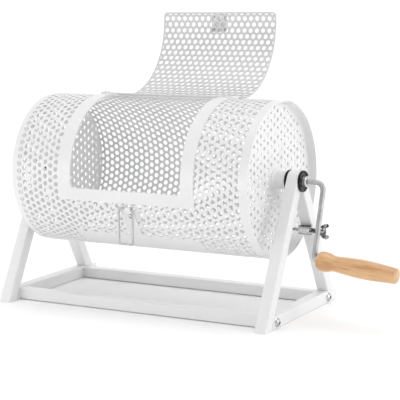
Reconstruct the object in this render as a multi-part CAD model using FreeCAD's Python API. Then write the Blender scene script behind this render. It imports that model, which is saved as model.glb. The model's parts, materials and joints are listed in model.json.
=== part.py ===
import FreeCAD, Part
import math
import os

# Raffle drum on an A-frame stand. Millimetres, +Z up. The drum turns about the
# X axis line at height AXIS_H, the crank is at +X, the door side faces -Y, and
# the origin lies on the table under the middle of the drum.
# Angles on the drum are in degrees from its top, positive towards the front.

AXIS_H = 215.0

# drum
DRUM_R = 125.0
DRUM_HALF = 216.5
SHEET = 1.2
SKIN_GAP = 0.1
DISC_FACE = 203.0
DISC_LIP = 12.0
DISC_FOLD = 2.5
HOLE_PITCH = 12.0
HOLE_R = 4.0
OPEN_HALF = 102.0
OPEN_BACK = -10.0
OPEN_FRONT = 96.5
OPEN_CORNER = 6.0
BAND_T = 1.5
BAND_OUT = 124.5
BAND_FRONT = 105.5
BAND_BACK = -12.0

# hubs and axle stubs
HUB_PLATE_R = 18.5
HUB_PLATE_T = 1.8
HUB_R = 14.0
AXLE_R = 8.7
AXLE_IN = 200.0
AXLE_OUT = 258.5

# stand
TUBE = 20.0
TUBE_EDGE = 2.0
STAND_IN = 228.5
STAND_OUT = STAND_IN + TUBE
LEG_LEAN = 27.75
APEX_R = 16.5
BAR_END = 131.5
STRETCH = 18.0
STRETCH_Y = (-91.0, 99.0)
BOLT_Z = 10.0

# bushes
BUSH_R = 11.0
FLANGE_R = 17.0
FLANGE_T = 4.0

# door
HINGE_DEG = -13.5
HINGE_R = 127.5
DOOR_HALF = 110.5
DOOR_IN = 127.3
DOOR_EDGE = 97.5
DOOR_CORNER = 7.0
DOOR_OPEN = 183.0
CURL_R = 2.2
PIN_R = 1.0
PIN_BORE = 1.05
BRACKET = (111.2, 124.0)
BRACKET_T = 2.8
BRACKET_FRONT = -1.5

# hasp
HASP_DEG = 109.0
HASP_R = 129.6
HASP_HALF = 11.4
HASP_LOW = 135.0
HASP_KNUCKLE = (0.0, 9.4)
HASP_BOLT = (4.6, 115.5)
HASP_BOLT_R = 4.2
HASP_BOLT_H = 2.4
BAIL_W = 28.2
BAIL_L = 59.4
BAIL_ROD = 1.5
STAPLE_DEG = 89.5
STAPLE_HALF = 7.5
STAPLE_H = 18.0

# crank
CRANK_X = 286.0
CRANK_LEN = 120.0
CRANK_SWING = 18.4
CRANK_ROD = 4.0
CRANK_BEND = 14.0
SPINDLE_BEND = 7.0
SPINDLE_DROOP = 5.7
SPINDLE_LEN = 108.0
GRIP_START = 7.4
GRIP_LEN = 130.0

# drum lock
LOCK_Y = 32.5
LOCK_DROP = 83.0
LOCK_BOSS_R = 7.0
LOCK_BODY_R = 4.0
LOCK_NOSE_R = 2.25
LOCK_TIP = 207.0
WING_IN = 263.5
WING_OUT = 279.0
WING_SPAN = 12.0
WING_T = 4.0

X_AXIS = FreeCAD.Vector(1, 0, 0)


def on_drum(x, radius, degrees):
    """Point on a circle round the drum axis, the angle taken from the top to the front."""
    angle = math.radians(degrees)
    return FreeCAD.Vector(x, -radius * math.sin(angle), AXIS_H + radius * math.cos(angle))


def save(shape, node):
    """Write one subcomponent to its own STEP file."""
    shape.exportStep("parts/" + node + ".step")


def sheet_sector(r_in, r_out, x_from, x_to, start, end):
    """Curved strip of sheet round the drum axis between two angles."""
    middle = (start + end) / 2.0
    outer = Part.Arc(
        on_drum(x_from, r_out, start),
        on_drum(x_from, r_out, middle),
        on_drum(x_from, r_out, end),
    ).toShape()
    inner = Part.Arc(
        on_drum(x_from, r_in, end),
        on_drum(x_from, r_in, middle),
        on_drum(x_from, r_in, start),
    ).toShape()
    far_side = Part.makeLine(on_drum(x_from, r_out, end), on_drum(x_from, r_in, end))
    near_side = Part.makeLine(on_drum(x_from, r_in, start), on_drum(x_from, r_out, start))
    face = Part.Face(Part.Wire([outer, far_side, inner, near_side]))
    return face.extrude(FreeCAD.Vector(x_to - x_from, 0, 0))


def round_corners(solid, angles, radius):
    """Round the radial edges of a curved strip that stand at the given angles."""
    picked = []
    for edge in solid.Edges:
        first, last = edge.Vertexes[0].Point, edge.Vertexes[-1].Point
        if abs(first.x - last.x) > 0.01:
            continue
        spoke = FreeCAD.Vector(0, first.y, first.z - AXIS_H)
        other = FreeCAD.Vector(0, last.y, last.z - AXIS_H)
        if abs(spoke.Length - other.Length) < 0.5:
            continue
        degrees = math.degrees(math.atan2(-spoke.y, spoke.z))
        if any(abs(degrees - wanted) < 0.1 for wanted in angles):
            picked.append(edge)
    return solid.makeFillet(radius, picked)


def turned(points, centre_y=0.0, centre_z=AXIS_H):
    """Solid of revolution about a line along X, from (x, radius) points."""
    corners = [FreeCAD.Vector(x, centre_y, centre_z + radius) for x, radius in points]
    face = Part.Face(Part.makePolygon(corners + [corners[0]]))
    return face.revolve(FreeCAD.Vector(0, centre_y, centre_z), X_AXIS, 360)


def rod_x(radius, x_from, x_to, y, z):
    """Round rod along X."""
    return Part.makeCylinder(radius, x_to - x_from, FreeCAD.Vector(x_from, y, z), X_AXIS)


def radial_rod(x, degrees, radius, r_from, r_to):
    """Round rod that points straight out from the drum axis."""
    foot = on_drum(x, r_from, degrees)
    return Part.makeCylinder(radius, r_to - r_from, foot, on_drum(x, r_to, degrees) - foot)


def rivet(x, degrees, seat):
    """Dome-head rivet standing on a surface at the radius given, with its shank below."""
    dome = Part.makeSphere(3.0).common(Part.makeCylinder(3.0, 3.0, FreeCAD.Vector(0, 0, 1.9)))
    dome.translate(FreeCAD.Vector(0, 0, -1.9))
    shank = Part.makeCylinder(1.4, 4.0, FreeCAD.Vector(0, 0, -3.9))
    piece = dome.fuse(shank).removeSplitter()
    piece.rotate(FreeCAD.Vector(0, 0, 0), X_AXIS, degrees)
    piece.translate(on_drum(x, seat, degrees))
    return piece


def rivet_holes(shape, places):
    """Cut the clearance holes that the rivet shanks pass through."""
    for x, degrees in places:
        shape = shape.cut(radial_rod(x, degrees, 1.5, DRUM_R - 6.0, DRUM_R + 12.0))
    return shape


def bent_rod(points, bends, radius):
    """Round rod swept along straight runs joined by circular bends."""
    pieces = []
    start = points[0]
    for i, bend in enumerate(bends, 1):
        corner = points[i]
        back = (points[i - 1] - corner).normalize()
        ahead = (points[i + 1] - corner).normalize()
        half = back.getAngle(ahead) / 2.0
        run = bend / math.tan(half)
        centre = corner + (back + ahead).normalize() * (bend / math.sin(half))
        enter = corner + back * run
        leave = corner + ahead * run
        crown = centre + (corner - centre).normalize() * bend
        pieces.append(Part.makeLine(start, enter))
        pieces.append(Part.Arc(enter, crown, leave).toShape())
        start = leave
    pieces.append(Part.makeLine(start, points[-1]))
    path = Part.Wire(pieces)
    section = Part.Wire([Part.makeCircle(radius, points[0], points[1] - points[0])])
    return path.makePipeShell([section], True, False)


# ---------------------------------------------------------------- places

HINGE_POINT = on_drum(0, HINGE_R, HINGE_DEG)
HASP_POINT = on_drum(0, HASP_R, HASP_DEG)
HINGE_RIVETS = [(side * x, -6.0) for side in (-1, 1) for x in (114.5, 121.0)]
STAPLE_RIVETS = [(x, deg) for x in (-10.5, 10.5) for deg in (84.5, 94.0)]


def open_door(shape):
    """Swing a piece made on the closed door back to the door's rest, standing open."""
    shape.rotate(HINGE_POINT, X_AXIS, -DOOR_OPEN)
    return shape


# ---------------------------------------------------------------- drum

def drum_shell():
    """Rolled drum wall with the loading opening cut through it."""
    x_from = -DRUM_HALF
    wall = rod_x(DRUM_R, x_from, DRUM_HALF, 0, AXIS_H)
    wall = wall.cut(rod_x(DRUM_R - SHEET, x_from, DRUM_HALF, 0, AXIS_H))
    opening = sheet_sector(
        DRUM_R - 6.0, DRUM_R + 4.0, -OPEN_HALF, OPEN_HALF, OPEN_BACK, OPEN_FRONT
    )
    opening = round_corners(opening, (OPEN_BACK, OPEN_FRONT), OPEN_CORNER)
    return rivet_holes(wall.cut(opening), HINGE_RIVETS + [HASP_BOLT])


def door_surround():
    """Raised frame of strip round the sides and the front of the opening."""
    r_in = DRUM_R + SKIN_GAP
    r_out = r_in + BAND_T
    frame = sheet_sector(r_in, r_out, -BAND_OUT, BAND_OUT, BAND_BACK, BAND_FRONT)
    window = sheet_sector(r_in - 2, r_out + 2, -OPEN_HALF, OPEN_HALF, -40.0, OPEN_FRONT)
    window = round_corners(window, (OPEN_FRONT,), OPEN_CORNER)
    return rivet_holes(frame.cut(window), HINGE_RIVETS)


def disc_holes():
    """Places of the perforations that pass in front of the lock pin as the drum turns."""
    reach = math.hypot(LOCK_Y, LOCK_DROP)
    column = HOLE_PITCH * math.sqrt(3.0) / 2.0
    first_y = LOCK_Y - 0.42
    first_z = -LOCK_DROP + 0.06
    places = []
    for i in range(-16, 17):
        for j in range(-16, 33):
            y = first_y + i * column
            z = first_z + (j + 0.5 * (i % 2)) * HOLE_PITCH
            if abs(math.hypot(y, z) - reach) < 3.0:
                places.append((y, z))
    return places


def end_disc(side):
    """Pressed end disc: flat plate with a centre hole and its flange turned outwards."""
    face = DISC_FACE
    back = face - SHEET
    edge = face + DISC_LIP
    rim = DRUM_R - SHEET - 0.3
    fold = DISC_FOLD
    cut45 = fold * (1.0 - math.sqrt(0.5))
    tight = (fold - SHEET) * (1.0 - math.sqrt(0.5))
    section = [
        FreeCAD.Vector(back, 0, AXIS_H + 9.0),
        FreeCAD.Vector(back, 0, AXIS_H + rim - fold),
        FreeCAD.Vector(back + cut45, 0, AXIS_H + rim - cut45),
        FreeCAD.Vector(back + fold, 0, AXIS_H + rim),
        FreeCAD.Vector(edge, 0, AXIS_H + rim),
        FreeCAD.Vector(edge, 0, AXIS_H + rim - SHEET),
        FreeCAD.Vector(back + fold, 0, AXIS_H + rim - SHEET),
        FreeCAD.Vector(face + tight, 0, AXIS_H + rim - SHEET - tight),
        FreeCAD.Vector(face, 0, AXIS_H + rim - fold),
        FreeCAD.Vector(face, 0, AXIS_H + 9.0),
    ]
    edges = [
        Part.makeLine(section[0], section[1]),
        Part.Arc(section[1], section[2], section[3]).toShape(),
        Part.makeLine(section[3], section[4]),
        Part.makeLine(section[4], section[5]),
        Part.makeLine(section[5], section[6]),
        Part.Arc(section[6], section[7], section[8]).toShape(),
        Part.makeLine(section[8], section[9]),
        Part.makeLine(section[9], section[0]),
    ]
    disc = Part.Face(Part.Wire(edges)).revolve(FreeCAD.Vector(0, 0, AXIS_H), X_AXIS, 360)
    if side > 0:
        for y, z in disc_holes():
            disc = disc.cut(rod_x(HOLE_R, back - 1, face + 1, y, AXIS_H + z))
        return disc
    return disc.mirror(FreeCAD.Vector(0, 0, 0), X_AXIS)


def hub(side):
    """Turned hub: round plate on the end disc and a collar out to the bush flange."""
    plate = DISC_FACE
    shoulder = plate + HUB_PLATE_T
    nose = STAND_IN - FLANGE_T - 0.3
    bore = AXLE_R + 0.1
    shape = turned([
        (plate, bore),
        (plate, HUB_PLATE_R),
        (shoulder - 0.8, HUB_PLATE_R),
        (shoulder, HUB_PLATE_R - 0.8),
        (shoulder, HUB_R + 2.0),
        (shoulder + 2.0, HUB_R),
        (nose - 0.8, HUB_R),
        (nose, HUB_R - 0.8),
        (nose, bore),
    ])
    return shape if side > 0 else shape.mirror(FreeCAD.Vector(0, 0, 0), X_AXIS)


def axle_stub(side):
    """Steel axle stub with chamfered ends; the crank side is bored for the rod."""
    shape = turned([
        (AXLE_IN, 0.0),
        (AXLE_IN, AXLE_R - 1.0),
        (AXLE_IN + 1.0, AXLE_R),
        (AXLE_OUT - 1.2, AXLE_R),
        (AXLE_OUT, AXLE_R - 1.2),
        (AXLE_OUT, 0.0),
    ])
    if side > 0:
        return shape.cut(rod_x(CRANK_ROD + 0.1, 232.0, AXLE_OUT + 1, 0, AXIS_H))
    return shape.mirror(FreeCAD.Vector(0, 0, 0), X_AXIS)


# ---------------------------------------------------------------- stand

def leg_line(offset, z):
    """Distance from the middle plane of a line along the leg, offset from the axis."""
    lean = math.radians(LEG_LEAN)
    return (AXIS_H - z) * math.tan(lean) + offset / math.cos(lean)


def leg_profile(foot):
    """Half of the A: bush eye at the apex and the tube down to the foot height."""
    lean = math.radians(LEG_LEAN)
    inside = APEX_R - TUBE
    top = FreeCAD.Vector(0, 0, AXIS_H + APEX_R)
    touch = FreeCAD.Vector(0, -APEX_R * math.cos(lean), AXIS_H + APEX_R * math.sin(lean))
    crown = FreeCAD.Vector(
        0,
        -APEX_R * math.sin((math.pi / 2 - lean) / 2),
        AXIS_H + APEX_R * math.cos((math.pi / 2 - lean) / 2),
    )
    outer_foot = FreeCAD.Vector(0, -leg_line(APEX_R, foot), foot)
    inner_foot = FreeCAD.Vector(0, -leg_line(inside, foot), foot)
    # the inner line meets the lower half of the bush eye
    reach = math.sqrt(APEX_R ** 2 - inside ** 2)
    along = (-math.sin(lean), -math.cos(lean))
    across = (-math.cos(lean), math.sin(lean))
    meet = FreeCAD.Vector(
        0,
        along[0] * reach + across[0] * inside,
        AXIS_H + along[1] * reach + across[1] * inside,
    )
    half = (math.atan2(-meet.y, AXIS_H - meet.z)) / 2.0
    low = FreeCAD.Vector(0, -APEX_R * math.sin(half), AXIS_H - APEX_R * math.cos(half))
    bottom = FreeCAD.Vector(0, 0, AXIS_H - APEX_R)
    bore_low = FreeCAD.Vector(0, 0, AXIS_H - BUSH_R)
    bore_side = FreeCAD.Vector(0, -BUSH_R, AXIS_H)
    bore_top = FreeCAD.Vector(0, 0, AXIS_H + BUSH_R)
    return Part.Face(Part.Wire([
        Part.Arc(top, crown, touch).toShape(),
        Part.makeLine(touch, outer_foot),
        Part.makeLine(outer_foot, inner_foot),
        Part.makeLine(inner_foot, meet),
        Part.Arc(meet, low, bottom).toShape(),
        Part.makeLine(bottom, bore_low),
        Part.Arc(bore_low, bore_side, bore_top).toShape(),
        Part.makeLine(bore_top, top),
    ]))


def leg_tube(foot):
    """Leg with its outline thickened to the tube's width and its long edges rounded."""
    shape = leg_profile(foot).extrude(FreeCAD.Vector(TUBE, 0, 0))
    outline = []
    for edge in shape.Edges:
        first, last = edge.Vertexes[0].Point, edge.Vertexes[-1].Point
        across = abs(first.x - last.x) > 0.01
        joint = abs(first.y) < 0.01 and abs(last.y) < 0.01
        base = abs(first.z - foot) < 0.01 and abs(last.z - foot) < 0.01
        if not (across or joint or base):
            outline.append(edge)
    return shape.makeFillet(TUBE_EDGE, outline)


def front_leg(side):
    """Front leg of one A-frame, standing on the table."""
    shape = leg_tube(0.0)
    shape.translate(FreeCAD.Vector(STAND_IN if side > 0 else -STAND_OUT, 0, 0))
    return shape


def rear_leg(side):
    """Rear leg of one A-frame, standing on top of the side bar."""
    shape = leg_tube(TUBE)
    shape = shape.mirror(FreeCAD.Vector(0, 0, 0), FreeCAD.Vector(0, 1, 0))
    shape.translate(FreeCAD.Vector(STAND_IN if side > 0 else -STAND_OUT, 0, 0))
    return shape


def side_bar(side):
    """Side bar on the table, cut at the front to butt against the leaning leg."""
    inside = APEX_R - TUBE
    x_from = STAND_IN if side > 0 else -STAND_OUT
    corners = [
        FreeCAD.Vector(x_from, -leg_line(inside, 0.0), 0),
        FreeCAD.Vector(x_from, -leg_line(inside, TUBE), TUBE),
        FreeCAD.Vector(x_from, BAR_END, TUBE),
        FreeCAD.Vector(x_from, BAR_END, 0),
    ]
    face = Part.Face(Part.makePolygon(corners + [corners[0]]))
    bar = face.extrude(FreeCAD.Vector(TUBE, 0, 0))
    long_edges = []
    for edge in bar.Edges:
        first, last = edge.Vertexes[0].Point, edge.Vertexes[-1].Point
        if abs(first.x - last.x) < 0.01 and abs(first.z - last.z) < 0.01:
            long_edges.append(edge)
    bar = bar.makeFillet(TUBE_EDGE, long_edges)
    for y in STRETCH_Y:
        bar = bar.cut(rod_x(3.3, x_from - 1, x_from + TUBE + 1, y, BOLT_Z))
    return bar


def stretcher(y):
    """Cross tube between the side bars, drilled at both ends for its bolts."""
    z = BOLT_Z - STRETCH / 2.0
    bar = Part.makeBox(
        2 * STAND_IN, STRETCH, STRETCH, FreeCAD.Vector(-STAND_IN, y - STRETCH / 2.0, z)
    )
    long_edges = [edge for edge in bar.Edges if abs(edge.Length - 2 * STAND_IN) < 0.01]
    bar = bar.makeFillet(1.5, long_edges)
    for x in (-STAND_IN - 1, STAND_IN - 18):
        bar = bar.cut(rod_x(3.1, x, x + 19, y, BOLT_Z))
    return bar


def stretcher_bolt(side, y):
    """Dome-head socket bolt through a side bar into a stretcher."""
    seat = STAND_OUT
    dome_r, height = 7.25, 5.0
    arc_r = (dome_r ** 2 + height ** 2) / (2.0 * height)
    ball = Part.makeSphere(arc_r, FreeCAD.Vector(seat + height - arc_r, y, BOLT_Z))
    head = ball.common(rod_x(dome_r + 1, seat, seat + height + 1, y, BOLT_Z))
    shank = rod_x(3.0, seat - TUBE - 15, seat + 1, y, BOLT_Z)
    corners = []
    for i in range(7):
        turn = math.radians(60 * i)
        corners.append(FreeCAD.Vector(seat + 2.2, y + 2.9 * math.cos(turn), BOLT_Z + 2.9 * math.sin(turn)))
    socket = Part.Face(Part.makePolygon(corners)).extrude(FreeCAD.Vector(4, 0, 0))
    bolt = head.fuse(shank).removeSplitter().cut(socket)
    return bolt if side > 0 else bolt.mirror(FreeCAD.Vector(0, 0, 0), X_AXIS)


def stretcher_bolts():
    """The four stretcher bolts, two at each side bar."""
    bolts = [stretcher_bolt(side, y) for side in (-1, 1) for y in STRETCH_Y]
    return Part.makeCompound(bolts)


def bush(side, outer):
    """Flanged bearing bush pressed into one face of the bush eye."""
    face = STAND_OUT if outer else STAND_IN
    way = 1.0 if outer else -1.0
    bore = AXLE_R + 0.05
    profile = [
        (face - way * (TUBE / 2.0 - 0.2), bore),
        (face - way * (TUBE / 2.0 - 0.2), BUSH_R - 0.1),
        (face, BUSH_R - 0.1),
        (face, FLANGE_R),
        (face + way * (FLANGE_T - 1.2), FLANGE_R),
        (face + way * FLANGE_T, FLANGE_R - 1.2),
        (face + way * FLANGE_T, bore + 1.0),
        (face + way * (FLANGE_T - 1.0), bore),
    ]
    shape = turned(profile)
    return shape if side > 0 else shape.mirror(FreeCAD.Vector(0, 0, 0), X_AXIS)


def lock_boss():
    """Round boss welded to the under face of the right rear leg, bored for the lock pin."""
    z = AXIS_H - LOCK_DROP
    boss = rod_x(LOCK_BOSS_R, STAND_IN, STAND_OUT, LOCK_Y, z)
    boss = boss.cut(rod_x(LOCK_BODY_R + 0.05, STAND_IN - 1, STAND_OUT + 1, LOCK_Y, z))
    return boss.cut(rear_leg(1))


# ---------------------------------------------------------------- drum lock

def lock_pin():
    """Lock pin: slim nose that enters the end disc and a stout body in the boss."""
    return turned([
        (LOCK_TIP, 0.0),
        (LOCK_TIP, LOCK_NOSE_R - 1.0),
        (LOCK_TIP + 1.5, LOCK_NOSE_R),
        (STAND_IN + 0.5, LOCK_NOSE_R),
        (STAND_IN + 1.5, LOCK_BODY_R),
        (WING_IN + 1.0, LOCK_BODY_R),
        (WING_IN + 1.0, 2.5),
        (WING_IN + 8.0, 2.5),
        (WING_IN + 8.0, 0.0),
    ], LOCK_Y, AXIS_H - LOCK_DROP)


def lock_wing():
    """Wing of the lock: a hub round the pin's end and two flared ears."""
    z = AXIS_H - LOCK_DROP
    collar = turned([
        (WING_IN, LOCK_BODY_R + 0.05),
        (WING_IN, 6.5),
        (WING_IN + 1.2, 6.5),
        (WING_IN + 9.5, 4.6),
        (WING_IN + 9.5, 0.0),
        (WING_IN + 8.1, 0.0),
        (WING_IN + 8.1, 2.55),
        (WING_IN + 1.05, 2.55),
        (WING_IN + 1.05, LOCK_BODY_R + 0.05),
    ], LOCK_Y, z)
    shape = collar
    for way in (-1, 1):
        curve = Part.BSplineCurve()
        curve.interpolate([
            FreeCAD.Vector(WING_IN + 0.6, LOCK_Y - WING_T / 2.0, z + way * 4.6),
            FreeCAD.Vector(WING_IN + 3.2, LOCK_Y - WING_T / 2.0, z + way * 8.4),
            FreeCAD.Vector(WING_IN + 9.0, LOCK_Y - WING_T / 2.0, z + way * 11.7),
            FreeCAD.Vector(WING_OUT - 1.2, LOCK_Y - WING_T / 2.0, z + way * (WING_SPAN - 1.0)),
            FreeCAD.Vector(WING_OUT - 0.4, LOCK_Y - WING_T / 2.0, z + way * 8.2),
            FreeCAD.Vector(WING_IN + 11.0, LOCK_Y - WING_T / 2.0, z + way * 5.4),
            FreeCAD.Vector(WING_IN + 8.6, LOCK_Y - WING_T / 2.0, z + way * 3.4),
        ])
        closing = Part.makeLine(curve.EndPoint, curve.StartPoint)
        ear = Part.Face(Part.Wire([curve.toShape(), closing])).extrude(FreeCAD.Vector(0, WING_T, 0))
        shape = shape.fuse(ear)
    pocket = turned([
        (WING_IN - 1.0, 0.0),
        (WING_IN - 1.0, LOCK_BODY_R + 0.05),
        (WING_IN + 1.05, LOCK_BODY_R + 0.05),
        (WING_IN + 1.05, 2.55),
        (WING_IN + 8.1, 2.55),
        (WING_IN + 8.1, 0.0),
    ], LOCK_Y, z)
    return shape.cut(pocket).removeSplitter()


# ---------------------------------------------------------------- crank

ARM_DOWN = FreeCAD.Vector(
    0, -math.sin(math.radians(CRANK_SWING)), -math.cos(math.radians(CRANK_SWING))
)
SPINDLE_WAY = X_AXIS * math.cos(math.radians(SPINDLE_DROOP)) + ARM_DOWN * math.sin(
    math.radians(SPINDLE_DROOP)
)
ARM_TOP = FreeCAD.Vector(CRANK_X, 0, AXIS_H)
ARM_END = ARM_TOP + ARM_DOWN * CRANK_LEN


def crank_rod():
    """Bent rod: out of the axle stub, down the arm and out again as the grip spindle."""
    points = [
        FreeCAD.Vector(234.0, 0, AXIS_H),
        ARM_TOP,
        ARM_END,
        ARM_END + SPINDLE_WAY * SPINDLE_LEN,
    ]
    return bent_rod(points, [CRANK_BEND, SPINDLE_BEND], CRANK_ROD)


def crank_grip():
    """Turned wooden grip with a bulb at the arm, a neck and a long belly."""
    outline = [
        (0.0, 11.4), (3.0, 13.6), (8.0, 15.2), (13.5, 15.3), (20.0, 14.2), (25.5, 12.5),
        (30.0, 12.1), (38.0, 12.7), (52.0, 13.9), (70.0, 14.7), (88.0, 14.5),
        (108.0, 13.3), (128.8, 11.8),
    ]
    curve = Part.BSplineCurve()
    curve.interpolate([FreeCAD.Vector(x, 0, radius) for x, radius in outline])
    bore = CRANK_ROD + 0.06
    depth = SPINDLE_LEN - GRIP_START + 1.5
    corners = [
        FreeCAD.Vector(outline[-1][0], 0, outline[-1][1]),
        FreeCAD.Vector(GRIP_LEN, 0, outline[-1][1] - 1.2),
        FreeCAD.Vector(GRIP_LEN, 0, 0),
        FreeCAD.Vector(depth, 0, 0),
        FreeCAD.Vector(depth, 0, bore),
        FreeCAD.Vector(0, 0, bore),
        FreeCAD.Vector(0, 0, outline[0][1]),
    ]
    edges = [curve.toShape()]
    for first, second in zip(corners, corners[1:]):
        edges.append(Part.makeLine(first, second))
    grip = Part.Face(Part.Wire(edges)).revolve(FreeCAD.Vector(0, 0, 0), X_AXIS, 360)
    grip.Placement = FreeCAD.Placement(
        ARM_END + SPINDLE_WAY * GRIP_START, FreeCAD.Rotation(X_AXIS, SPINDLE_WAY)
    )
    return grip


# ---------------------------------------------------------------- door

def door_panel():
    """Curved door sheet, its back edge rolled into a curl round the hinge pin."""
    r_out = DOOR_IN + SHEET
    sheet = sheet_sector(DOOR_IN, r_out, -DOOR_HALF, DOOR_HALF, HINGE_DEG, DOOR_EDGE)
    sheet = round_corners(sheet, (DOOR_EDGE,), DOOR_CORNER)
    y, z = HINGE_POINT.y, HINGE_POINT.z
    curl = rod_x(CURL_R, -DOOR_HALF, DOOR_HALF, y, z)
    bore = rod_x(PIN_BORE, -DOOR_HALF - 1, DOOR_HALF + 1, y, z)
    panel = sheet.fuse(curl).cut(bore).removeSplitter()
    return open_door(rivet_holes(panel, STAPLE_RIVETS))


def hinge_pin():
    """Long pin through the door curl and both hinge brackets."""
    y, z = HINGE_POINT.y, HINGE_POINT.z
    return rod_x(PIN_R, -BRACKET[1] - 1.0, BRACKET[1] + 1.0, y, z)


def hinge_bracket(side):
    """Block riveted on the surround, its back end round the end of the pin."""
    y, z = HINGE_POINT.y, HINGE_POINT.z
    seat = DRUM_R + SKIN_GAP + BAND_T + SKIN_GAP
    block = sheet_sector(seat, seat + BRACKET_T, *BRACKET, HINGE_DEG, BRACKET_FRONT)
    block = round_corners(block, (BRACKET_FRONT,), 3.0)
    knuckle = rod_x(CURL_R, *BRACKET, y, z)
    bracket = block.fuse(knuckle).cut(rod_x(PIN_BORE, BRACKET[0] - 1, BRACKET[1] + 1, y, z))
    if side < 0:
        bracket = bracket.mirror(FreeCAD.Vector(0, 0, 0), X_AXIS)
    return rivet_holes(bracket.removeSplitter(), HINGE_RIVETS)


def staple_plate():
    """Backing plate of the staple, riveted on the outside of the door."""
    seat = DOOR_IN + SHEET + SKIN_GAP
    plate = sheet_sector(seat, seat + 1.5, -14.5, 14.5, 82.5, 96.0)
    plate = round_corners(plate, (82.5, 96.0), 3.0)
    return open_door(rivet_holes(plate, STAPLE_RIVETS))


def staple():
    """Round-rod staple that the bail drops over, standing on its plate."""
    foot = DOOR_IN + SHEET + SKIN_GAP + 1.5
    crown = foot + STAPLE_H
    points = [
        on_drum(-STAPLE_HALF, foot, STAPLE_DEG),
        on_drum(-STAPLE_HALF, crown, STAPLE_DEG),
        on_drum(STAPLE_HALF, crown, STAPLE_DEG),
        on_drum(STAPLE_HALF, foot, STAPLE_DEG),
    ]
    loop = bent_rod(points, [6.0, 6.0], 1.5)
    under = rod_x(foot + 0.02, -20, 20, 0, AXIS_H)
    return open_door(loop.cut(under))


# ---------------------------------------------------------------- hasp

def hasp_plate():
    """Hasp strap bolted to the drum wall, a tab of its top edge rolled round the bail."""
    seat = DRUM_R + SKIN_GAP
    plate = sheet_sector(seat, seat + BAND_T, -HASP_HALF, HASP_HALF, HASP_DEG, HASP_LOW)
    plate = round_corners(plate, (HASP_LOW,), 6.0)
    y, z = HASP_POINT.y, HASP_POINT.z
    tab_from, tab_to = HASP_KNUCKLE
    shape = plate.fuse(rod_x(3.4, tab_from, tab_to, y, z))
    shape = shape.cut(rod_x(3.8, -HASP_HALF - 1, tab_from, y, z))
    shape = shape.cut(rod_x(3.8, tab_to, HASP_HALF + 1, y, z))
    shape = shape.cut(rod_x(BAIL_ROD + 0.06, tab_from - 1, tab_to + 1, y, z))
    return rivet_holes(shape.removeSplitter(), [HASP_BOLT])


def hasp_bolt():
    """Dome-head bolt that holds the hasp strap, its shank through the drum wall."""
    arc_r = (HASP_BOLT_R ** 2 + HASP_BOLT_H ** 2) / (2.0 * HASP_BOLT_H)
    ball = Part.makeSphere(arc_r, FreeCAD.Vector(0, 0, HASP_BOLT_H - arc_r))
    head = ball.common(Part.makeCylinder(HASP_BOLT_R + 1.0, HASP_BOLT_H + 1.0))
    bolt = head.fuse(Part.makeCylinder(1.4, 4.0, FreeCAD.Vector(0, 0, -3.9))).removeSplitter()
    x, degrees = HASP_BOLT
    bolt.rotate(FreeCAD.Vector(0, 0, 0), X_AXIS, degrees)
    bolt.translate(on_drum(x, DRUM_R + SKIN_GAP + BAND_T, degrees))
    return bolt


def hasp_bail():
    """Closed rectangular loop of rod that hangs from the hasp knuckle."""
    y, top = HASP_POINT.y, HASP_POINT.z
    half = BAIL_W / 2.0 - BAIL_ROD
    bottom = top - BAIL_L + 2 * BAIL_ROD
    points = [
        FreeCAD.Vector(0, y, top),
        FreeCAD.Vector(half, y, top),
        FreeCAD.Vector(half, y, bottom),
        FreeCAD.Vector(0, y, bottom),
    ]
    right = bent_rod(points, [2.0, 4.5], BAIL_ROD)
    left = right.mirror(FreeCAD.Vector(0, 0, 0), X_AXIS)
    return right.fuse(left).removeSplitter()


def rivets(places, seat):
    """Set of like rivets at one height above the drum axis."""
    return Part.makeCompound([rivet(x, degrees, seat) for x, degrees in places])


os.makedirs("parts", exist_ok=True)

for name, side in (("left", -1), ("right", 1)):
    save(front_leg(side), name + "_front_leg")
    save(rear_leg(side), name + "_rear_leg")
    save(side_bar(side), name + "_side_bar")
    save(bush(side, True), name + "_outer_bush")
    save(bush(side, False), name + "_inner_bush")
    save(end_disc(side), name + "_end_disc")
    save(hub(side), name + "_hub")
    save(axle_stub(side), name + "_axle_stub")
    save(hinge_bracket(side), name + "_hinge_bracket")
save(stretcher(STRETCH_Y[0]), "front_stretcher")
save(stretcher(STRETCH_Y[1]), "rear_stretcher")
save(stretcher_bolts(), "stretcher_bolts")
save(lock_boss(), "lock_boss")
save(lock_pin(), "lock_pin")
save(lock_wing(), "lock_wing")
save(drum_shell(), "drum_shell")
save(door_surround(), "door_surround")
save(crank_rod(), "crank_rod")
save(crank_grip(), "crank_grip")
save(door_panel(), "door_panel")
save(hinge_pin(), "hinge_pin")
save(rivets(HINGE_RIVETS, DRUM_R + SKIN_GAP + BAND_T + SKIN_GAP + BRACKET_T), "hinge_rivets")
save(staple_plate(), "staple_plate")
save(staple(), "staple")
save(open_door(rivets(STAPLE_RIVETS, DOOR_IN + SHEET + SKIN_GAP + 1.5)), "staple_rivets")
save(hasp_plate(), "hasp_plate")
save(hasp_bolt(), "hasp_bolt")
save(hasp_bail(), "hasp_bail")
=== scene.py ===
"""Looks of a raffle drum with a crank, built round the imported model.

The perforated wall and door, both end discs, the outer bushes, the axle stubs and the
threaded lock pin are new meshes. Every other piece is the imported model's own and only
gets its finish. Lengths are in metres. X runs along the drum, -Y is its front, +Z is up.
Angles on the drum are counted from its top, positive towards the front.
"""
import json
import logging
import math
from dataclasses import dataclass, field, replace
from enum import Enum

import bpy
import numpy as np
from mathutils import Matrix, Vector
from mathutils.geometry import delaunay_2d_cdt


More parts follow.
